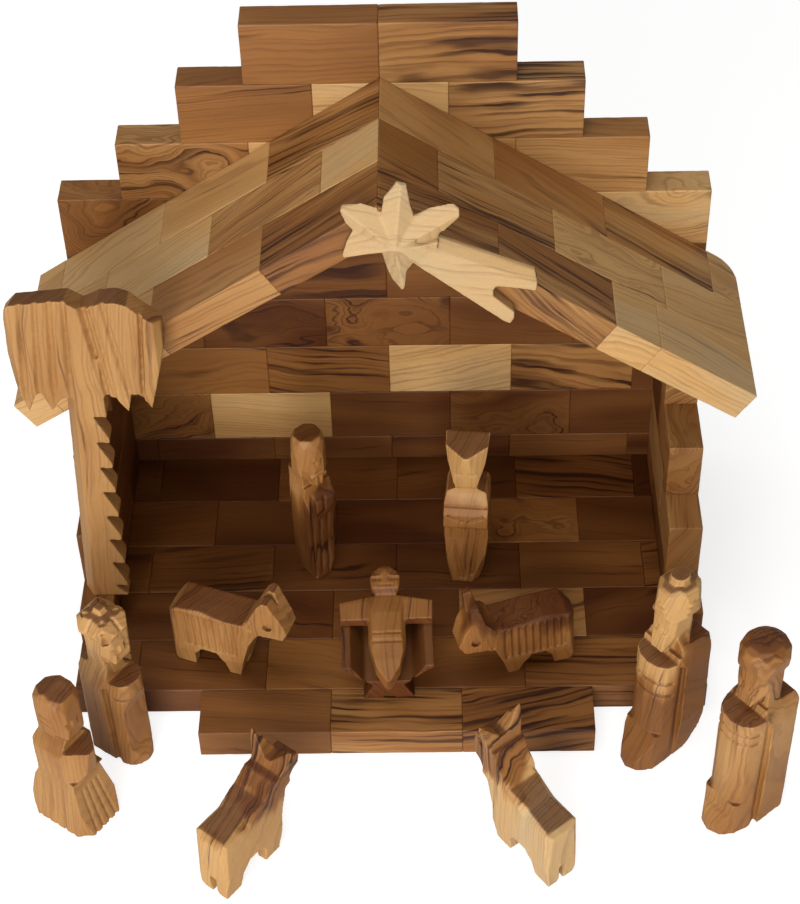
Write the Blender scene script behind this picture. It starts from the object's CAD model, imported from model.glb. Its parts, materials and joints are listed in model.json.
"""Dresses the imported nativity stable: sawn olive-wood blocks, hand-carved figures, and a plain stage."""
import json
import math
import random

import bmesh
import bpy
from mathutils import Matrix, Vector

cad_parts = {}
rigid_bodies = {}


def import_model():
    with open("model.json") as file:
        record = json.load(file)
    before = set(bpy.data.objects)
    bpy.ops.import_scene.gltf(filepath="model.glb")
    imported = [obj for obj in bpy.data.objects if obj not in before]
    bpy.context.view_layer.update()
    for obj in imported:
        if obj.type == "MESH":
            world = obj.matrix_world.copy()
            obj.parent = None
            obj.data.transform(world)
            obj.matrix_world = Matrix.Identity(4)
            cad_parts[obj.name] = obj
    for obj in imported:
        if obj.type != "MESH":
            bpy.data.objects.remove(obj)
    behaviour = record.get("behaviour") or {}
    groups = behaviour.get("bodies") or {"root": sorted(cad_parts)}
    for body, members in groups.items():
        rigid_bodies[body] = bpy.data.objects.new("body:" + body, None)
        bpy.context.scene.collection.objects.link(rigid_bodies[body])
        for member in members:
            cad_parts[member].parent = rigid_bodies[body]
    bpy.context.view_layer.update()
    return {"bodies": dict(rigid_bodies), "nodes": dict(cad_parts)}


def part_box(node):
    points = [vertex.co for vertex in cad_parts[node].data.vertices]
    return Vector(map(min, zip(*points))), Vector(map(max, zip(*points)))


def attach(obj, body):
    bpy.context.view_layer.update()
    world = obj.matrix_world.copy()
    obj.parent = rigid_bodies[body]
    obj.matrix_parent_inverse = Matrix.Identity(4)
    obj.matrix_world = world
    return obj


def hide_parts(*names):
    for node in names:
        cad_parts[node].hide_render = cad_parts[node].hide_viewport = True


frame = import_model()

bl_info = {
    "name": "Nativity Stable",
    "version": (1, 0, 0),
    "blender": (4, 5, 0),
    "location": "View3D > Sidebar > Stable",
    "description": "Builds a block-wood stable with loose carved figures around its packed model",
    "category": "Object",
}

# Vertices of a block along its length, its depth and its height
BLOCK_GRID = (30, 12, 14)

# Kinds of olive wood: tone from dark to pale, share of dark veins, swirl of the figure
WOOD_KINDS = {
    "p": (0.98, 0.20, 0.12),  # pale
    "n": (0.92, 0.32, 0.14),  # nearly pale
    "m": (0.64, 0.40, 0.16),  # middling
    "k": (0.42, 0.40, 0.16),  # brown
    "s": (0.64, 0.95, 0.10),  # streaked
    "y": (0.50, 1.00, 0.12),  # streaked brown
    "f": (0.42, 0.70, 1.00),  # swirled brown
    "g": (0.58, 0.70, 0.95),  # swirled
    "h": (0.12, 0.75, 0.95),  # swirled and dark
    "w": (0.96, 0.40, 0.75),  # swirled and pale
    "d": (0.01, 0.50, 0.35),  # darkest
    "b": (0.17, 0.40, 0.15),  # dark brown
    "z": (0.28, 0.95, 0.15),  # streaked and dark
}

# Kind of each block, from left to right, from front to back, or from the ridge down
BLOCK_KINDS = {
    "back_wall_course_1": "ddbdbb",
    "back_wall_course_2": "fnbhb",
    "back_wall_course_3": "bkznsb",
    "back_wall_course_4": "bhhbb",
    "back_wall_course_5": "bbzbbb",
    "back_wall_course_6": "fbbbw",
    "back_wall_course_7": "gpmm",
    "back_wall_course_8": "kps",
    "back_wall_course_9": "ks",
    "left_wall_course_1": "bbd",
    "left_wall_course_2": "bb",
    "left_wall_course_3": "bb",
    "left_wall_course_4": "b",
    "right_wall_course_1": "mbf",
    "right_wall_course_2": "mm",
    "right_wall_course_3": "gb",
    "right_wall_course_4": "s",
    "left_wall_wedge": "b",
    "right_wall_wedge": "b",
    "floor_row_1": "ddbbzd",
    "floor_row_2": "bbdfb",
    "floor_row_3": "zzbdbz",
    "floor_row_4": "bdbmd",
    "floor_row_5": "bbkbzb",
    "floor_sill": "kyy",
    "roof_left_row_1": "sppn",
    "roof_left_row_2": "pspn",
    "roof_left_row_3": "ymnn",
    "roof_right_row_1": "mmsw",
    "roof_right_row_2": "kswp",
    "roof_right_row_3": "ysnp",
}

# Carved pieces: tone, veins and swirl of the first and second wood, and the way from first to second
CARVED_WOOD = {
    "comet_star": ((1.14, 0.08, 0.10), (1.14, 0.08, 0.10), (0, 0, 1)),
    "palm_tree": ((0.69, 0.25, 0.12), (0.72, 0.30, 0.16), (0, 0, 1)),
    "left_adult": ((0.14, 0.60, 0.50), (0.62, 0.25, 0.20), (-0.7, -0.1, 0.7)),
    "right_adult": ((0.50, 0.30, 0.20), (0.76, 0.15, 0.15), (0, 0, 1)),
    "manger": ((0.04, 0.45, 0.30), (0.10, 0.45, 0.30), (0, 0, 1)),
    "infant": ((0.36, 0.40, 0.12), (0.42, 0.40, 0.12), (0, 0, 1)),
    "sheep": ((0.68, 0.20, 0.15), (0.64, 0.60, 0.30), (0, 0, 1)),
    "ox": ((0.46, 0.40, 0.20), (0.06, 0.70, 0.80), (0.2, 0, 1)),
    "rear_right_bearer": ((0.34, 0.45, 0.20), (0.92, 0.10, 0.12), (-0.62, -0.52, 0.58)),
    "front_right_bearer": ((0.64, 0.35, 0.30), (0.55, 0.90, 0.55), (0, 0, 1)),
    "rear_left_bearer": ((0.60, 0.60, 0.30), (0.78, 0.30, 0.20), (-0.4, 0, 0.9)),
    "front_left_bearer": ((0.60, 0.20, 0.08), (0.55, 0.30, 0.12), (0, 0, 1)),
    "left_donkey": ((0.86, 0.10, 0.12), (0.46, 1.00, 0.30), (0.3, 0, 1)),
    "right_donkey": ((1.14, 0.10, 0.12), (0.58, 1.00, 0.30), (-0.3, 0, 1)),
}

# Turns that bring the fibres of a carved piece along X
UPRIGHT_FIBRE = (0.0, math.pi / 2, 0.0)
LONGWAYS_FIBRE = (0.0, 0.0, math.pi / 2)
SIDEWAYS_FIBRE = (0.0, 0.0, 0.0)

# Change of wood in a carving: share of its height, half width of the blend and raggedness in metres
WOOD_CHANGE = 0.62
WOOD_BLEND = 0.006
WOOD_RAGGED = 0.03

# Chance in the wood: reach of a piece's place in the tree in metres, and spread of tone, veins and swirl
LOT_REACH = 0.9
TONE_SPREAD = (-0.08, 0.08)
VEIN_SPREAD = (0.85, 1.1)
SWIRL_SPREAD = (0.8, 1.2)

# Roughness of the oiled finish in each slot of the record
SLOT_ROUGHNESS = {"block_wood": 0.40, "carved_wood": 0.46, "pale_wood": 0.50}

# Millimetres in a metre, in which the grain is drawn, and the gamma of display values
MILLIMETRES = 1000.0
DISPLAY_GAMMA = 2.2

# Bends of the growth layers: scales per millimetre, detail, reach in millimetres, and reach that swirl adds
LAYER_BENDS = (
    ((0.008, 0.02, 0.02), 1.0, 9.0, 0.0),
    ((0.028, 0.042, 0.042), 1.5, 1.0, 46.0),
    ((0.045, 0.18, 0.18), 2.0, 1.5, 5.0),
)

# Dark lines: pitch in millimetres, where in a layer they begin and are full, and least noise to show them
GROWTH_LINES = (1.6, 0.35, 1.0, 0.40)
VEIN_LINES = (2.6, 0.64, 0.80, 0.40)
BOLD_LINES = (5.8, 0.45, 0.86, 0.34)

# Scales per millimetre, along the fibres and across them, of knots, fine fibres and pores
KNOT_SCALE = (0.030, 0.050, 0.050)
FIBRE_SCALE = (0.10, 3.2, 3.2)
PORE_SCALE = (0.35, 4.5, 4.5)

# Colours from dark to pale, by their share of the palest tone, and how strongly each mark covers them
PALEST_TONE = 1.4
TONE_STOPS = ((0.0, "dark"), (0.36, "mid"), (0.68, "pale"), (1.0, "cream"))
MARK_STRENGTH = {"band": 0.36, "bold": 0.90, "vein": 0.95, "knot": 0.72, "end": 0.80, "pore": 0.20,
                 "hollow": 0.52}

# Sawn blocks: scale of the saw's wander and of the chips per metre, and end grain shown on a sawn end
WANDER_SCALE = 70.0
CHIP_SCALE = 330.0
SAWN_END = 0.30

# Carved surfaces: softening of edges, and bend in metres at which a hollow darkens and a ridge wears
SOFTENING = 0.5
HOLLOW_BEND = (0.00006, 0.0003)
RIDGE_BEND = (-0.00006, -0.0002)

# How squarely a carved face meets the fibres, from no end grain to full end grain
END_FACING = (0.62, 0.96)

# Radius of the rounded rear corner of the right eave, and the distance at which points are welded, in metres
EAVE_CORNER = 0.0108
WELD = 0.00001

# Distances in metres at which corner points count as one joint, or as on a roof row's front or top face
JOINT_SLACK = 0.0008
FRONT_SLACK = 0.0002
TOP_SLACK = 0.0004

# Camera: near clip in metres and sensor height in millimetres
NEAR_CLIP = 0.05
SENSOR_HEIGHT = 24.0

# View: focal length over picture height, turn in degrees as pitch, yaw and roll, and place in metres
VIEW_FOCAL = 2067.853 / 904.0
VIEW_TURN = (44.177, -1.451, -1.742)
VIEW_PLACE = (0.023192, -0.684126, 0.7582)

# Lamps and table, in metres
LAMP_AIM = (0.0, -0.02, 0.08)
LAMP_SIZE = 0.9
OVERHEAD_PLACE = (-0.25, -0.15, 1.4)
FRONT_PLACE = (-0.26, -1.35, 0.46)
TABLE_REACH = 4.0

# Light of the room, and the table as the camera sees it: what takes the shadows, and its glow
ROOM_TINT = (1.0, 0.985, 0.96, 1.0)
TABLE_SHADE = (0.55, 0.55, 0.55, 1.0)
TABLE_GLOW = 0.74


def linear(red, green, blue):
    """Colour written in 0 to 255 display values, as the shader wants it."""
    return tuple((c / 255.0) ** DISPLAY_GAMMA for c in (red, green, blue))


class StableWood(bpy.types.PropertyGroup):
    """Colours of the oiled olive wood."""

    cream: bpy.props.FloatVectorProperty(
        name="Fresh sapwood", description="Palest wood, as on the star",
        default=linear(189, 169, 133), subtype="COLOR", min=0.0, max=1.0)
    pale: bpy.props.FloatVectorProperty(
        name="Sapwood", description="Pale blocks",
        default=linear(203, 157, 99), subtype="COLOR", min=0.0, max=1.0)
    mid: bpy.props.FloatVectorProperty(
        name="Heartwood", description="Usual body colour of a block",
        default=linear(151, 100, 51), subtype="COLOR", min=0.0, max=1.0)
    dark: bpy.props.FloatVectorProperty(
        name="Old heartwood", description="Dark blocks of the floor and the lower wall",
        default=linear(81, 43, 17), subtype="COLOR", min=0.0, max=1.0)
    line: bpy.props.FloatVectorProperty(
        name="Growth lines", description="Fine lines along the grain",
        default=linear(100, 55, 24), subtype="COLOR", min=0.0, max=1.0)
    vein: bpy.props.FloatVectorProperty(
        name="Veins", description="Dark veins and knots",
        default=linear(56, 29, 12), subtype="COLOR", min=0.0, max=1.0)


class StableBlocks(bpy.types.PropertyGroup):
    """Sizes of the sawn blocks."""

    edge: bpy.props.FloatProperty(
        name="Edge radius", description="Rounding of a block's edges", default=0.00045,
        min=0.0001, max=0.002, unit="LENGTH")
    wobble: bpy.props.FloatProperty(
        name="Wobble", description="How far a sawn face wanders from flat", default=0.00022,
        min=0.0, max=0.001, unit="LENGTH")
    chip: bpy.props.FloatProperty(
        name="Chips", description="Depth of the chips along an edge", default=0.0005,
        min=0.0, max=0.002, unit="LENGTH")
    seed: bpy.props.IntProperty(
        name="Seed", description="Picks each block's cut of wood", default=11, min=0)


class StableCarving(bpy.types.PropertyGroup):
    """Sizes of the knife work on the carved pieces."""

    grit: bpy.props.FloatProperty(
        name="Detail", description="Finest detail kept on a carved surface", default=0.00048,
        min=0.0003, max=0.002, unit="LENGTH")
    cut_length: bpy.props.FloatProperty(
        name="Cut length", description="Usual length of a knife cut", default=0.011,
        min=0.002, max=0.05, unit="LENGTH")
    cut_width: bpy.props.FloatProperty(
        name="Cut width", description="Usual width of a knife cut", default=0.0055,
        min=0.001, max=0.03, unit="LENGTH")
    cut_depth: bpy.props.FloatProperty(
        name="Cut depth", description="Hollow left by a knife cut", default=0.00018,
        min=0.0, max=0.002, unit="LENGTH")
    seed: bpy.props.IntProperty(
        name="Seed", description="Picks each carving's cut of wood", default=0, min=0)


class StableStage(bpy.types.PropertyGroup):
    """Floor, lamps and camera."""

    floor: bpy.props.FloatVectorProperty(
        name="Floor", description="Colour of the table", default=(0.93, 0.93, 0.93), subtype="COLOR",
        min=0.0, max=1.0)
    key: bpy.props.FloatProperty(
        name="Key lamp", description="Power of the overhead softbox", default=5.0, min=0.0, unit="POWER")
    fill: bpy.props.FloatProperty(
        name="Fill lamp", description="Power of the front softbox", default=17.5, min=0.0, unit="POWER")
    sky: bpy.props.FloatProperty(
        name="Room light", description="Strength of the even light from all round", default=0.27, min=0.0)


def add(tree, kind, values=None, **settings):
    """New node with its settings, and its sockets linked or set."""
    made = tree.nodes.new(kind)
    for key, value in settings.items():
        setattr(made, key, value)
    for key, value in (values or {}).items():
        if isinstance(value, bpy.types.NodeSocket):
            tree.links.new(value, made.inputs[key])
        else:
            made.inputs[key].default_value = value
    return made


def sums(tree, operation, *terms, clamp=False):
    """Result of a Math node."""
    node = add(tree, "ShaderNodeMath", dict(enumerate(terms)), operation=operation, use_clamp=clamp)
    return node.outputs[0]


def vector(tree, operation, *terms):
    """Result of a Vector Math node; a dot product or a length comes out as a number."""
    values = {(3 if operation == "SCALE" and k == 1 else k): term for k, term in enumerate(terms)}
    node = add(tree, "ShaderNodeVectorMath", values, operation=operation)
    return node.outputs[1 if operation in ("DOT_PRODUCT", "LENGTH") else 0]


def split(tree, value):
    """The three numbers of a vector."""
    return add(tree, "ShaderNodeSeparateXYZ", {0: value}).outputs[:]


def combine(tree, x, y, z):
    """A vector of three numbers."""
    return add(tree, "ShaderNodeCombineXYZ", {0: x, 1: y, 2: z}).outputs[0]


def between(tree, value, low, high):
    """Value eased from 0 to 1 between a first and a second level, and flat beyond them."""
    node = add(tree, "ShaderNodeMapRange", {0: value, 1: low, 2: high}, interpolation_type="SMOOTHSTEP")
    return node.outputs[0]


def noise(tree, place, scale, detail=2.0, roughness=0.5):
    """Noise texture node."""
    return add(tree, "ShaderNodeTexNoise", {"Vector": place, "Scale": scale, "Detail": detail,
                                            "Roughness": roughness})


def mixed(tree, share, first, second):
    """Colour between two others."""
    node = add(tree, "ShaderNodeMix", data_type="RGBA")
    for socket, value in zip((node.inputs[0], node.inputs[6], node.inputs[7]), (share, first, second)):
        if isinstance(value, bpy.types.NodeSocket):
            tree.links.new(value, socket)
        else:
            socket.default_value = value
    return node.outputs[2]


def wood_finish(name, colours, roughness):
    """Oiled olive wood that follows the grain, wood and wear kept on the mesh."""
    material = bpy.data.materials.new(name)
    material.use_nodes = True
    tree = material.node_tree
    tree.nodes.clear()
    attribute = {
        key: add(tree, "ShaderNodeAttribute", attribute_name=key).outputs["Vector"]
        for key in ("grain", "lot", "wood", "wear")
    }
    tone, streak, swirl = split(tree, attribute["wood"])
    edge, end, hollow = split(tree, attribute["wear"])
    place = vector(tree, "SCALE", attribute["grain"], MILLIMETRES)
    lot = vector(tree, "SCALE", attribute["lot"], MILLIMETRES)
    spot = vector(tree, "ADD", place, lot)
    x, y, z = split(tree, place)
    lean, turn, _ = split(tree, attribute["lot"])

    # Field whose levels are the growth layers: a slanting plane of each block's own, bent by soft noise
    def wave(scales, detail, least, swirled):
        """Soft bend in millimetres, wider in swirled wood."""
        value = noise(tree, vector(tree, "MULTIPLY", spot, scales), 1.0, detail).outputs[0]
        reach = sums(tree, "MULTIPLY_ADD", sums(tree, "POWER", swirl, 1.4), swirled, least)
        return sums(tree, "MULTIPLY", sums(tree, "SUBTRACT", value, 0.5), reach)

    angle = sums(tree, "MULTIPLY_ADD", turn, 0.5, 0.78)
    layer = sums(tree, "MULTIPLY", z, sums(tree, "COSINE", angle))
    layer = sums(tree, "MULTIPLY_ADD", y, sums(tree, "SINE", angle), layer)
    layer = sums(tree, "MULTIPLY_ADD", x, sums(tree, "MULTIPLY", lean, 0.16), layer)
    for bend in LAYER_BENDS:
        layer = sums(tree, "ADD", layer, wave(*bend))

    # Growth lines: each layer ends in a thin dark edge that comes and goes along the fibres
    far = vector(tree, "SCALE", lot, 0.1)

    def rings(pitch, start, full, least):
        """Dark ends of the layers, a pitch in millimetres apart."""
        count = sums(tree, "DIVIDE", layer, pitch)
        own = combine(tree, sums(tree, "MULTIPLY", sums(tree, "FLOOR", count), 3.7),
                      sums(tree, "MULTIPLY", x, 0.016), sums(tree, "MULTIPLY", y, 0.016))
        own = noise(tree, vector(tree, "ADD", own, far), 1.0, 1.0).outputs[0]
        own = between(tree, own, least, least + 0.2)
        return sums(tree, "MULTIPLY", between(tree, sums(tree, "FRACT", count), start, full), own)

    # Veins are bundles of those lines in soft darker bands; the broad tone follows the layers too
    run = combine(tree, sums(tree, "MULTIPLY", layer, 0.20), sums(tree, "MULTIPLY", x, 0.010),
                  sums(tree, "MULTIPLY", y, 0.012))
    run = vector(tree, "ADD", run, far)
    least = sums(tree, "MULTIPLY_ADD", streak, -0.17, 0.67)
    band = noise(tree, run, 1.0, 3.0, 0.58).outputs[0]
    band = between(tree, band, sums(tree, "SUBTRACT", least, 0.05), sums(tree, "ADD", least, 0.10))
    growth = rings(*GROWTH_LINES)
    fine = sums(tree, "MULTIPLY", growth, sums(tree, "MULTIPLY_ADD", streak, 0.40, 0.22))
    vein = sums(tree, "MULTIPLY_ADD", band, 0.95, sums(tree, "MULTIPLY", streak, 0.40))
    vein = sums(tree, "MULTIPLY", rings(*VEIN_LINES), vein, clamp=True)
    bold = sums(tree, "MULTIPLY", band, streak)
    bold = sums(tree, "MULTIPLY", rings(*BOLD_LINES), bold, clamp=True)
    knot = noise(tree, vector(tree, "MULTIPLY", spot, KNOT_SCALE), 1.0, 2.0).outputs[0]
    knot = sums(tree, "MULTIPLY", between(tree, knot, 0.60, 0.70), between(tree, swirl, 0.15, 0.9))
    broad = noise(tree, vector(tree, "MULTIPLY", run, (0.30, 1.0, 1.0)), 1.0, 1.0).outputs[0]
    share = sums(tree, "ADD", tone, sums(tree, "MULTIPLY_ADD", broad, 0.62, -0.31))
    fibre = noise(tree, vector(tree, "MULTIPLY", spot, FIBRE_SCALE), 1.0, 3.0, 0.62).outputs[0]
    pore = noise(tree, vector(tree, "MULTIPLY", spot, PORE_SCALE), 1.0, 1.0).outputs[0]
    pore = between(tree, pore, 0.64, 0.73)

    rgba = {
        key: tuple(getattr(colours, key)) + (1.0,) for key in ("cream", "pale", "mid", "dark", "line", "vein")
    }
    ramp = add(tree, "ShaderNodeValToRGB", {0: sums(tree, "DIVIDE", share, PALEST_TONE)})
    for stop, (at, key) in enumerate(TONE_STOPS):
        element = ramp.color_ramp.elements[stop] if stop < 2 else ramp.color_ramp.elements.new(at)
        element.position = at
        element.color = rgba[key]
    across = mixed(tree, growth, rgba["line"], rgba["vein"])
    colour = mixed(tree, fine, ramp.outputs[0], rgba["line"])
    for mark, cover, paint in (
        ("band", band, rgba["line"]), ("bold", bold, rgba["vein"]), ("vein", vein, rgba["vein"]),
        ("knot", knot, rgba["vein"]), ("end", end, across), ("pore", pore, rgba["line"]),
        ("hollow", hollow, rgba["line"]),
    ):
        colour = mixed(tree, sums(tree, "MULTIPLY", cover, MARK_STRENGTH[mark]), colour, paint)
    worn = sums(tree, "MULTIPLY_ADD", edge, 0.16, 0.82)
    colour = vector(tree, "SCALE", colour, sums(tree, "MULTIPLY_ADD", fibre, 0.36, worn))

    height = sums(tree, "ADD", sums(tree, "MULTIPLY", fibre, 0.8), sums(tree, "MULTIPLY", growth, -0.25))
    bump = add(tree, "ShaderNodeBump", {"Height": height, "Strength": 0.25, "Distance": 0.0002})
    gloss = sums(tree, "MULTIPLY_ADD", fibre, 0.16, roughness)
    shader = add(tree, "ShaderNodeBsdfPrincipled", {
        "Base Color": colour, "Roughness": gloss, "Specular IOR Level": 0.35, "Normal": bump.outputs[0],
    })
    add(tree, "ShaderNodeOutputMaterial", {0: shader.outputs[0]})
    return material


def finish_for(slot):
    """The wood finish of a record slot, made once."""
    name = f"olive_{slot}"
    if name in bpy.data.materials:
        return bpy.data.materials[name]
    return wood_finish(name, bpy.context.scene.stable_wood, SLOT_ROUGHNESS[slot])


def new_tree(name, inputs):
    """Geometry Nodes tree with named inputs; gives the tree and its input sockets."""
    tree = bpy.data.node_groups.new(name, "GeometryNodeTree")
    tree.is_modifier = True
    tree.interface.new_socket("Geometry", in_out="OUTPUT", socket_type="NodeSocketGeometry")
    tree.interface.new_socket("Geometry", in_out="INPUT", socket_type="NodeSocketGeometry")
    for label, kind in inputs:
        tree.interface.new_socket(label, in_out="INPUT", socket_type=kind)
    return tree, add(tree, "NodeGroupInput").outputs


def named(tree, key):
    """Vector kept on the mesh under a name."""
    return add(tree, "GeometryNodeInputNamedAttribute", {"Name": key}, data_type="FLOAT_VECTOR").outputs[0]


def keep(tree, geometry, key, value):
    """Geometry with a vector kept on its points."""
    node = add(tree, "GeometryNodeStoreNamedAttribute", {"Geometry": geometry, "Name": key, "Value": value},
               data_type="FLOAT_VECTOR", domain="POINT")
    return node.outputs[0]


def close_tree(tree, geometry, material):
    """Ends a tree in plain smooth-shaded mesh with its material."""
    smooth = add(tree, "GeometryNodeSetShadeSmooth", {"Geometry": geometry}).outputs[0]
    real = add(tree, "GeometryNodeRealizeInstances", {"Geometry": smooth}).outputs[0]
    painted = add(tree, "GeometryNodeSetMaterial", {"Geometry": real, "Material": material}).outputs[0]
    add(tree, "NodeGroupOutput", {0: painted})


def blocks_tree():
    """Sawn blocks: a fine-gridded cube on each point, brought to size, turned, and rounded at its edges."""
    if "sawn_blocks" in bpy.data.node_groups:
        return bpy.data.node_groups["sawn_blocks"]
    tree, given = new_tree("sawn_blocks", (
        ("Edge Radius", "NodeSocketFloat"), ("Wobble", "NodeSocketFloat"), ("Chips", "NodeSocketFloat"),
        ("Material", "NodeSocketMaterial"),
    ))
    radius = given["Edge Radius"]
    cube = add(tree, "GeometryNodeMeshCube", {
        "Size": (2, 2, 2), "Vertices X": BLOCK_GRID[0], "Vertices Y": BLOCK_GRID[1],
        "Vertices Z": BLOCK_GRID[2],
    }).outputs[0]
    position = add(tree, "GeometryNodeInputPosition").outputs[0]
    cube = keep(tree, cube, "unit", position)
    each = add(tree, "GeometryNodeInstanceOnPoints", {
        "Points": given["Geometry"], "Instance": cube,
    }).outputs[0]
    blocks = add(tree, "GeometryNodeRealizeInstances", {"Geometry": each}).outputs[0]

    # Grid lines: two close to each edge, the rest evenly between; the outermost goes round the edge
    unit, half, cut = named(tree, "unit"), named(tree, "half"), named(tree, "cut")
    centre = vector(tree, "SUBTRACT", position, unit)
    side = vector(tree, "SIGN", unit)
    far = vector(tree, "ABSOLUTE", unit)
    spread = tuple((n - 1) / (n - 5) for n in BLOCK_GRID)
    second = tuple(1 - 2.2 / (n - 1) for n in BLOCK_GRID)
    inner = vector(tree, "MULTIPLY", unit, spread)
    inner = vector(tree, "MAXIMUM", vector(tree, "MINIMUM", inner, (1, 1, 1)), (-1, -1, -1))
    shrunk = vector(tree, "SUBTRACT", half, vector(tree, "SCALE", (2, 2, 2), radius))
    ring = vector(tree, "CEIL", vector(tree, "SUBTRACT", far, second))
    outer = vector(tree, "FLOOR", vector(tree, "ADD", far, (0.001, 0.001, 0.001)))
    out = vector(tree, "NORMALIZE", vector(tree, "MULTIPLY", side, outer))
    local = vector(tree, "ADD", vector(tree, "MULTIPLY", inner, shrunk),
                   vector(tree, "SCALE", vector(tree, "MULTIPLY", side, ring), radius))
    local = vector(tree, "ADD", local, vector(tree, "SCALE", out, radius))
    on_edge = sums(tree, "SUBTRACT", vector(tree, "DOT_PRODUCT", outer, (1, 1, 1)), 1.0, clamp=True)
    end_face = split(tree, outer)[0]

    # Rounded corner in plan, mitre at the ridge and sloping top, each nought on a plain block
    mitre, slant, corner = split(tree, cut)
    hub = vector(tree, "SUBTRACT", half, combine(tree, corner, corner, -1.0))
    beyond = vector(tree, "MAXIMUM", vector(tree, "SUBTRACT", local, hub), (0, 0, 0))
    bx, by, _ = split(tree, beyond)
    shrink = sums(tree, "DIVIDE", sums(tree, "MAXIMUM", bx, by),
                  sums(tree, "MAXIMUM", vector(tree, "LENGTH", beyond), 0.000001))
    local = vector(tree, "ADD", vector(tree, "MINIMUM", local, hub), vector(tree, "SCALE", beyond, shrink))
    grain = local
    spot = vector(tree, "ADD", local, named(tree, "lot"))
    lx, ly, lz = split(tree, local)
    ux, _, uz = split(tree, unit)
    hz = split(tree, half)[2]
    down = sums(tree, "DIVIDE", sums(tree, "SUBTRACT", hz, lz), sums(tree, "MULTIPLY", hz, 2.0))
    near_ridge = sums(tree, "MULTIPLY_ADD", ux, -0.5, 0.5)
    lx = sums(tree, "MULTIPLY_ADD", sums(tree, "MULTIPLY", mitre, down), near_ridge, lx)
    up = sums(tree, "MULTIPLY_ADD", uz, 0.5, 0.5)
    lz = sums(tree, "MULTIPLY_ADD", sums(tree, "MULTIPLY", slant, ly), up, lz)
    local = combine(tree, lx, ly, lz)

    # Saw wander and chipped edges
    rough = noise(tree, spot, WANDER_SCALE, 2.0).outputs["Color"]
    rough = vector(tree, "SCALE", vector(tree, "SUBTRACT", rough, (0.5, 0.5, 0.5)), given["Wobble"])
    chips = between(tree, noise(tree, spot, CHIP_SCALE, 2.0, 0.6).outputs[0], 0.58, 0.74)
    chips = sums(tree, "MULTIPLY", sums(tree, "MULTIPLY", chips, on_edge), given["Chips"])
    local = vector(tree, "ADD", local, vector(tree, "SUBTRACT", rough, vector(tree, "SCALE", out, chips)))
    turn = add(tree, "FunctionNodeEulerToRotation", {0: named(tree, "turn")}).outputs[0]
    turned = add(tree, "FunctionNodeRotateVector", {"Vector": local, "Rotation": turn}).outputs[0]
    blocks = keep(tree, blocks, "grain", grain)
    sawn_end = sums(tree, "MULTIPLY", end_face, SAWN_END)
    blocks = keep(tree, blocks, "wear", combine(tree, on_edge, sawn_end, 0.0))
    blocks = add(tree, "GeometryNodeSetPosition", {
        "Geometry": blocks, "Position": vector(tree, "ADD", centre, turned),
    }).outputs[0]
    close_tree(tree, blocks, given["Material"])
    return tree


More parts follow.
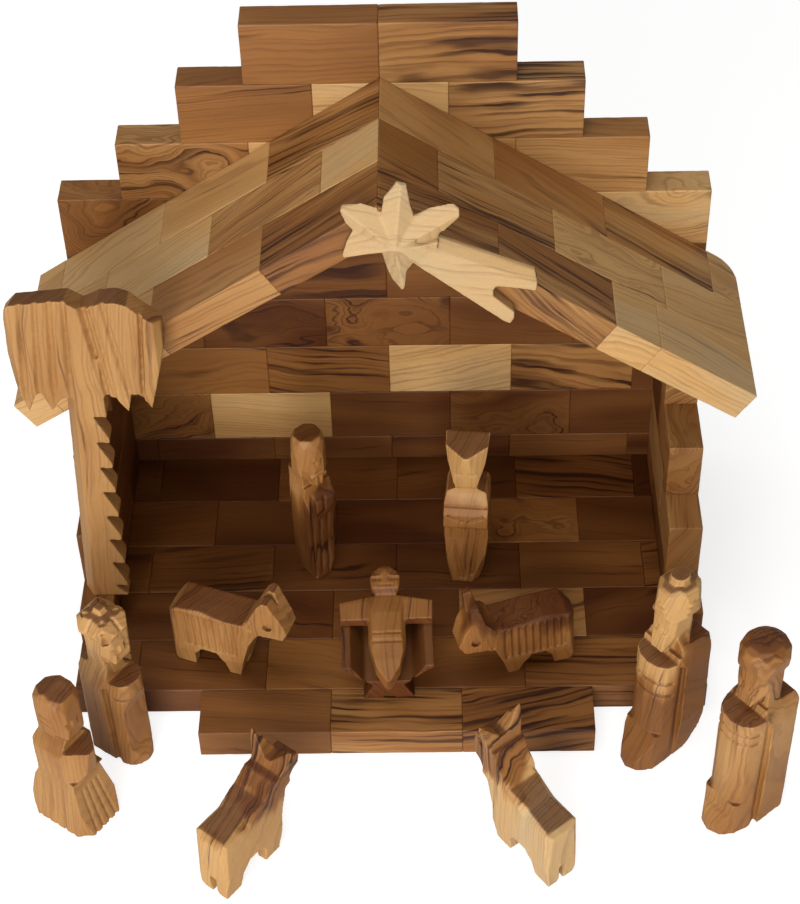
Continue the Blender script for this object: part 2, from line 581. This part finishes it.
def carving_tree():
    """Knife work: shallow cuts along the fibres, with the grain, hollows and edges kept on the mesh."""
    if "knife_work" in bpy.data.node_groups:
        return bpy.data.node_groups["knife_work"]
    tree, given = new_tree("knife_work", (
        ("Cut Length", "NodeSocketFloat"), ("Cut Width", "NodeSocketFloat"), ("Cut Depth", "NodeSocketFloat"),
        ("Fibre Turn", "NodeSocketVector"), ("Middle", "NodeSocketVector"), ("Lot", "NodeSocketVector"),
        ("First Wood", "NodeSocketVector"), ("Second Wood", "NodeSocketVector"),
        ("Change Place", "NodeSocketVector"), ("Change Way", "NodeSocketVector"),
        ("Material", "NodeSocketMaterial"),
    ))
    position = add(tree, "GeometryNodeInputPosition").outputs[0]
    normal = add(tree, "GeometryNodeInputNormal").outputs[0]
    turn = add(tree, "FunctionNodeEulerToRotation", {0: given["Fibre Turn"]}).outputs[0]
    from_middle = vector(tree, "SUBTRACT", position, given["Middle"])
    grain = add(tree, "FunctionNodeRotateVector", {"Vector": from_middle, "Rotation": turn}).outputs[0]
    facing = add(tree, "FunctionNodeRotateVector", {"Vector": normal, "Rotation": turn}).outputs[0]
    spot = vector(tree, "ADD", grain, given["Lot"])

    # Cuts are long cells, each a shallow dish, on a surface that drifts a little
    size = combine(tree, given["Cut Length"], given["Cut Width"], given["Cut Width"])
    cell = add(tree, "ShaderNodeTexVoronoi", {"Vector": vector(tree, "DIVIDE", spot, size), "Scale": 1.0,
                                              "Randomness": 1.0})
    dish = sums(tree, "POWER", cell.outputs["Distance"], 2.0)
    dish = sums(tree, "MULTIPLY_ADD", dish, 1.4, -1.0)
    drift = noise(tree, spot, 120.0, 2.0).outputs[0]
    drift = sums(tree, "MULTIPLY_ADD", drift, 1.4, -0.7)
    depth = sums(tree, "MULTIPLY", sums(tree, "ADD", dish, drift), given["Cut Depth"])
    carved = add(tree, "GeometryNodeSetPosition", {
        "Geometry": given["Geometry"], "Offset": vector(tree, "SCALE", normal, depth),
    }).outputs[0]

    # Hollows, ridges and end grain, and the change from the first wood to the second
    blurred = add(tree, "GeometryNodeBlurAttribute", {"Value": position, "Iterations": 4},
                  data_type="FLOAT_VECTOR").outputs[0]
    bend = vector(tree, "DOT_PRODUCT", vector(tree, "SUBTRACT", blurred, position), normal)
    hollow = between(tree, bend, *HOLLOW_BEND)
    ridge = between(tree, bend, *RIDGE_BEND)
    end = between(tree, sums(tree, "ABSOLUTE", split(tree, facing)[0]), *END_FACING)
    carved = keep(tree, carved, "grain", grain)
    carved = keep(tree, carved, "lot", given["Lot"])
    away = vector(tree, "SUBTRACT", position, given["Change Place"])
    away = vector(tree, "DOT_PRODUCT", away, given["Change Way"])
    patch = noise(tree, vector(tree, "MULTIPLY", spot, (0.35, 1.0, 1.0)), 90.0, 2.0).outputs[0]
    away = sums(tree, "MULTIPLY_ADD", sums(tree, "SUBTRACT", patch, 0.5), WOOD_RAGGED, away)
    later = between(tree, away, -WOOD_BLEND, WOOD_BLEND)
    change = vector(tree, "SCALE", vector(tree, "SUBTRACT", given["Second Wood"], given["First Wood"]), later)
    carved = keep(tree, carved, "wood", vector(tree, "ADD", given["First Wood"], change))
    carved = keep(tree, carved, "wear", combine(tree, ridge, end, hollow))
    close_tree(tree, carved, given["Material"])
    return tree


def set_inputs(modifier, values):
    """Sets a modifier's inputs by their socket identifiers."""
    sockets = {item.name: item.identifier for item in modifier.node_group.interface.items_tree
               if item.in_out == "INPUT"}
    for label, value in values.items():
        modifier[sockets[label]] = value


def settle(piece):
    """Turns an object's modified shape into its plain mesh."""
    depsgraph = bpy.context.evaluated_depsgraph_get()
    mesh = bpy.data.meshes.new_from_object(piece.evaluated_get(depsgraph))
    piece.modifiers.clear()
    old = piece.data
    piece.data = mesh
    bpy.data.meshes.remove(old)
    mesh.name = piece.name
    for key in ("unit", "half", "turn", "cut"):
        if key in mesh.attributes:
            mesh.attributes.remove(mesh.attributes[key])


def place(name, mesh):
    """New object in the scene."""
    piece = bpy.data.objects.new(name, mesh)
    bpy.context.scene.collection.objects.link(piece)
    return piece


def own_lot(rng):
    """Place in the tree that a block or a carving is cut from."""
    return [rng.uniform(-LOT_REACH, LOT_REACH) for _ in range(3)]


def lay_blocks(node, blocks):
    """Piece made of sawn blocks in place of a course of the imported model.

    Each block has its centre, half sizes along length, depth and height, turn and cut.
    """
    settings = bpy.context.scene.stable_blocks
    kinds = BLOCK_KINDS[node]
    rng = random.Random(f"{settings.seed}/{node}")
    table = {"half": [], "turn": [], "cut": [], "lot": [], "wood": []}
    for index, (_, half, turn, cut) in enumerate(blocks):
        tone, streak, swirl = WOOD_KINDS[kinds[index % len(kinds)]]
        table["half"] += half
        table["turn"] += turn
        table["cut"] += cut
        table["lot"] += own_lot(rng)
        table["wood"] += [tone + rng.uniform(*TONE_SPREAD), streak * rng.uniform(*VEIN_SPREAD),
                          swirl * rng.uniform(*SWIRL_SPREAD)]
    mesh = bpy.data.meshes.new(node)
    mesh.from_pydata([centre for centre, _, _, _ in blocks], [], [])
    for key, values in table.items():
        mesh.attributes.new(key, "FLOAT_VECTOR", "POINT").data.foreach_set("vector", values)
    piece = place(f"{node}_blocks", mesh)
    modifier = piece.modifiers.new("Sawn blocks", "NODES")
    modifier.node_group = blocks_tree()
    set_inputs(modifier, {"Edge Radius": settings.edge, "Wobble": settings.wobble, "Chips": settings.chip,
                          "Material": finish_for("block_wood")})
    settle(piece)
    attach(piece, "stable")
    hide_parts(node)


def corners(node):
    """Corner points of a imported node."""
    return [vertex.co.copy() for vertex in frame["nodes"][node].data.vertices]


def steps(values):
    """Sorted values without the repeats."""
    found = []
    for value in sorted(values):
        if not found or value - found[-1] > JOINT_SLACK:
            found.append(value)
    return found


def straight_blocks(node, axis):
    """Blocks of a level course that runs along X (axis 0) or Y (axis 1), between the joints of the node."""
    low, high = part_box(node)
    joints = steps(point[axis] for point in corners(node))
    turn = (0.0, 0.0, 0.0) if axis == 0 else (0.0, 0.0, math.pi / 2)
    blocks = []
    for start, end in zip(joints, joints[1:]):
        centre = [(low[i] + high[i]) / 2 for i in range(3)]
        centre[axis] = (start + end) / 2
        half = ((end - start) / 2, (high[1 - axis] - low[1 - axis]) / 2, (high[2] - low[2]) / 2)
        blocks.append((centre, half, turn, (0.0, 0.0, 0.0)))
    return blocks


def wedge_blocks(node):
    """The one block with a sloping top that closes a side wall under the roof."""
    low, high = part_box(node)
    heights = steps(point.z for point in corners(node))
    rise = heights[-1] - heights[-2]
    hand = 1.0 if low[0] > 0 else -1.0
    middle = (heights[-1] + heights[-2]) / 2
    centre = ((low[0] + high[0]) / 2, (low[1] + high[1]) / 2, (low[2] + middle) / 2)
    half = ((high[1] - low[1]) / 2, (high[0] - low[0]) / 2, (middle - low[2]) / 2)
    return [(centre, half, (0.0, 0.0, math.pi / 2), (0.0, hand * rise / (high[0] - low[0]), 0.0))]


def roof_blocks(node):
    """Blocks of one roof row, between its joints down the slope, mitred at the ridge."""
    low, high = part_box(node)
    hand = 1.0 if high[0] > abs(low[0]) else -1.0
    front = [point for point in corners(node) if abs(point.y - low[1]) < FRONT_SLACK]
    ridge = max(front, key=lambda point: point.z)
    eave = max(front, key=lambda point: hand * point.x)
    pitch = math.atan2(ridge.z - eave.z, hand * (eave.x - ridge.x))
    run = Vector((hand * math.cos(pitch), 0.0, -math.sin(pitch)))
    inward = Vector((-hand * math.sin(pitch), 0.0, -math.cos(pitch)))
    thick = max((point - ridge).dot(inward) for point in front)
    top = [point for point in front if (point - ridge).dot(inward) < TOP_SLACK]
    joints = steps((point - ridge).dot(run) for point in top)
    turn = (0.0, pitch, 0.0 if hand > 0 else math.pi)
    middle = Vector((0.0, (high[1] - low[1]) / 2, 0.0))
    rounded = EAVE_CORNER if hand > 0 and node.endswith("_row_1") else 0.0
    blocks = []
    for start, end in zip(joints, joints[1:]):
        centre = ridge + run * (start + end) / 2 + inward * thick / 2 + middle
        half = ((end - start) / 2, (high[1] - low[1]) / 2, thick / 2)
        cut = (thick * math.tan(pitch) if start == joints[0] else 0.0, 0.0,
               rounded if end == joints[-1] else 0.0)
        blocks.append((centre, half, turn, cut))
    return blocks


def carve(node, fibre=UPRIGHT_FIBRE, cuts=1.0, soft=3):
    """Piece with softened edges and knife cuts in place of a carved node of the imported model."""
    settings = bpy.context.scene.stable_carving
    first, second, way = CARVED_WOOD[node]
    body = node if node in frame["bodies"] else "stable"
    slot = "pale_wood" if body == "stable" else "carved_wood"
    low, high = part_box(node)
    middle = [(low[i] + high[i]) / 2 for i in range(3)]
    shell = bmesh.new()
    shell.from_mesh(frame["nodes"][node].data)
    bmesh.ops.remove_doubles(shell, verts=shell.verts, dist=WELD)
    mesh = bpy.data.meshes.new(node)
    shell.to_mesh(mesh)
    shell.free()
    piece = place(f"{node}_carving", mesh)
    remesh = piece.modifiers.new("Fine grid", "REMESH")
    remesh.mode = "VOXEL"
    remesh.voxel_size = settings.grit
    soften = piece.modifiers.new("Softened edges", "SMOOTH")
    soften.factor = SOFTENING
    soften.iterations = soft
    knife = piece.modifiers.new("Knife work", "NODES")
    knife.node_group = carving_tree()
    rng = random.Random(f"{node}/{settings.seed}")
    set_inputs(knife, {
        "Cut Length": settings.cut_length, "Cut Width": settings.cut_width,
        "Cut Depth": settings.cut_depth * cuts, "Fibre Turn": fibre,
        "Middle": middle, "Lot": own_lot(rng),
        "First Wood": first, "Second Wood": second, "Change Way": way,
        "Change Place": (middle[0], middle[1], low[2] + WOOD_CHANGE * (high[2] - low[2])),
        "Material": finish_for(slot),
    })
    settle(piece)
    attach(piece, body)
    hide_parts(node)


class STABLE_OT_back_wall(bpy.types.Operator):
    """Lay the courses of the stepped back wall"""

    bl_idname = "stable.back_wall"
    bl_label = "Back Wall"

    def execute(self, context):
        for node in sorted(n for n in frame["nodes"] if n.startswith("back_wall")):
            lay_blocks(node, straight_blocks(node, 0))
        return {"FINISHED"}


class STABLE_OT_side_walls(bpy.types.Operator):
    """Lay the courses of the two side walls and their wedges"""

    bl_idname = "stable.side_walls"
    bl_label = "Side Walls"

    def execute(self, context):
        for node in sorted(n for n in frame["nodes"] if "_wall_" in n and not n.startswith("back")):
            lay_blocks(node, wedge_blocks(node) if node.endswith("wedge") else straight_blocks(node, 1))
        return {"FINISHED"}


class STABLE_OT_floor(bpy.types.Operator):
    """Lay the floor rows and the sill"""

    bl_idname = "stable.floor"
    bl_label = "Floor"

    def execute(self, context):
        for node in sorted(n for n in frame["nodes"] if n.startswith("floor_")):
            lay_blocks(node, straight_blocks(node, 0))
        return {"FINISHED"}


class STABLE_OT_roof(bpy.types.Operator):
    """Lay the rows of the two roof panels"""

    bl_idname = "stable.roof"
    bl_label = "Roof"

    def execute(self, context):
        for node in sorted(n for n in frame["nodes"] if n.startswith("roof_")):
            lay_blocks(node, roof_blocks(node))
        return {"FINISHED"}


class STABLE_OT_star_and_palm(bpy.types.Operator):
    """Carve the comet star and the palm tree"""

    bl_idname = "stable.star_and_palm"
    bl_label = "Star and Palm"

    def execute(self, context):
        carve("comet_star", fibre=SIDEWAYS_FIBRE, cuts=0.8, soft=6)
        carve("palm_tree", cuts=0.9, soft=8)
        return {"FINISHED"}


class STABLE_OT_family(bpy.types.Operator):
    """Carve the two adults, the manger and the infant"""

    bl_idname = "stable.family"
    bl_label = "Adults, Manger and Infant"

    def execute(self, context):
        carve("left_adult")
        carve("right_adult")
        carve("manger", fibre=LONGWAYS_FIBRE, cuts=0.7)
        carve("infant", fibre=LONGWAYS_FIBRE, cuts=0.6)
        return {"FINISHED"}


class STABLE_OT_animals(bpy.types.Operator):
    """Carve the sheep, the ox and the two donkeys"""

    bl_idname = "stable.animals"
    bl_label = "Animals"

    def execute(self, context):
        for node in ("sheep", "ox", "left_donkey", "right_donkey"):
            carve(node, cuts=0.8)
        return {"FINISHED"}


class STABLE_OT_bearers(bpy.types.Operator):
    """Carve the four robed gift bearers"""

    bl_idname = "stable.bearers"
    bl_label = "Gift Bearers"

    def execute(self, context):
        for node in ("rear_right_bearer", "front_right_bearer", "rear_left_bearer", "front_left_bearer"):
            carve(node)
        return {"FINISHED"}


def softbox(name, place_at, power):
    """Square soft lamp aimed at the stable."""
    lamp = bpy.data.lights.new(name, "AREA")
    lamp.size = LAMP_SIZE
    lamp.energy = power
    holder = bpy.data.objects.new(name, lamp)
    holder.location = place_at
    holder.rotation_euler = (Vector(LAMP_AIM) - Vector(place_at)).to_track_quat("-Z", "Y").to_euler()
    bpy.context.scene.collection.objects.link(holder)


class STABLE_OT_stage(bpy.types.Operator):
    """Set the table, the lamps and the camera"""

    bl_idname = "stable.stage"
    bl_label = "Stage"

    def execute(self, context):
        scene = context.scene
        settings = scene.stable_stage
        mesh = bpy.data.meshes.new("table_top")
        outline = [(x * TABLE_REACH, y * TABLE_REACH, 0) for x, y in ((-1, -1), (1, -1), (1, 1), (-1, 1))]
        mesh.from_pydata(outline, [], [(0, 1, 2, 3)])
        table = place("table_top", mesh)
        mesh.materials.append(self.table_finish(settings))

        world = bpy.data.worlds.new("even_room")
        world.use_nodes = True
        world.node_tree.nodes["Background"].inputs[0].default_value = ROOM_TINT
        world.node_tree.nodes["Background"].inputs[1].default_value = settings.sky
        scene.world = world
        softbox("overhead_softbox", OVERHEAD_PLACE, settings.key)
        softbox("front_softbox", FRONT_PLACE, settings.fill)
        scene.view_settings.view_transform = "Standard"
        self.camera(scene)
        return {"FINISHED"}

    def table_finish(self, settings):
        """Plain pale table that keeps the shadows."""
        material = bpy.data.materials.new("pale_table")
        material.use_nodes = True
        tree = material.node_tree
        tree.nodes.clear()
        colour = tuple(settings.floor) + (1.0,)
        matt = add(tree, "ShaderNodeBsdfDiffuse", {"Color": colour}).outputs[0]
        part = add(tree, "ShaderNodeBsdfDiffuse", {"Color": TABLE_SHADE}).outputs[0]
        glow = add(tree, "ShaderNodeEmission", {"Strength": TABLE_GLOW}).outputs[0]
        seen = add(tree, "ShaderNodeAddShader", {0: part, 1: glow}).outputs[0]
        ray = add(tree, "ShaderNodeLightPath").outputs["Is Camera Ray"]
        shown = add(tree, "ShaderNodeMixShader", {0: ray, 1: matt, 2: seen}).outputs[0]
        add(tree, "ShaderNodeOutputMaterial", {0: shown})
        return material

    def camera(self, scene):
        """Camera at the photograph's view of the stable."""
        lens = bpy.data.cameras.new("view_camera")
        lens.sensor_fit = "VERTICAL"
        lens.sensor_height = SENSOR_HEIGHT
        lens.lens = SENSOR_HEIGHT * VIEW_FOCAL
        lens.clip_start = NEAR_CLIP
        pitch, yaw, roll = (math.radians(a) for a in VIEW_TURN)
        ahead = Vector((math.sin(yaw) * math.cos(pitch), math.cos(yaw) * math.cos(pitch), -math.sin(pitch)))
        right = ahead.cross(Vector((0, 0, 1))).normalized()
        up = right.cross(ahead)
        across = math.cos(roll) * right + math.sin(roll) * up
        upward = -math.sin(roll) * right + math.cos(roll) * up
        view = Matrix((across, upward, -ahead)).transposed().to_4x4()
        view.translation = VIEW_PLACE
        holder = bpy.data.objects.new("view_camera", lens)
        holder.matrix_world = view
        scene.collection.objects.link(holder)
        scene.camera = holder


class STABLE_PT_panel(bpy.types.Panel):
    """Sizes, colours and build steps of the stable"""

    bl_idname = "STABLE_PT_panel"
    bl_label = "Nativity Stable"
    bl_space_type = "VIEW_3D"
    bl_region_type = "UI"
    bl_category = "Stable"

    def draw(self, context):
        for key in PROPERTY_GROUPS:
            box = self.layout.box()
            group = getattr(context.scene, key)
            for name in group.__annotations__:
                box.prop(group, name)
        for operator in BUILD_ORDER:
            self.layout.operator(operator.bl_idname)


PROPERTY_GROUPS = {
    "stable_wood": StableWood,
    "stable_blocks": StableBlocks,
    "stable_carving": StableCarving,
    "stable_stage": StableStage,
}
BUILD_ORDER = (
    STABLE_OT_back_wall, STABLE_OT_side_walls, STABLE_OT_floor, STABLE_OT_roof, STABLE_OT_star_and_palm,
    STABLE_OT_family, STABLE_OT_animals, STABLE_OT_bearers, STABLE_OT_stage,
)


def register():
    for key, group in PROPERTY_GROUPS.items():
        bpy.utils.register_class(group)
        setattr(bpy.types.Scene, key, bpy.props.PointerProperty(type=group))
    for cls in BUILD_ORDER + (STABLE_PT_panel,):
        bpy.utils.register_class(cls)


def unregister():
    for cls in reversed(BUILD_ORDER + (STABLE_PT_panel,)):
        bpy.utils.unregister_class(cls)
    for key, group in PROPERTY_GROUPS.items():
        delattr(bpy.types.Scene, key)
        bpy.utils.unregister_class(group)


def main():
    register()
    for operator in BUILD_ORDER:
        group, step = operator.bl_idname.split(".")
        getattr(getattr(bpy.ops, group), step)()


if __name__ == "__main__":
    main()
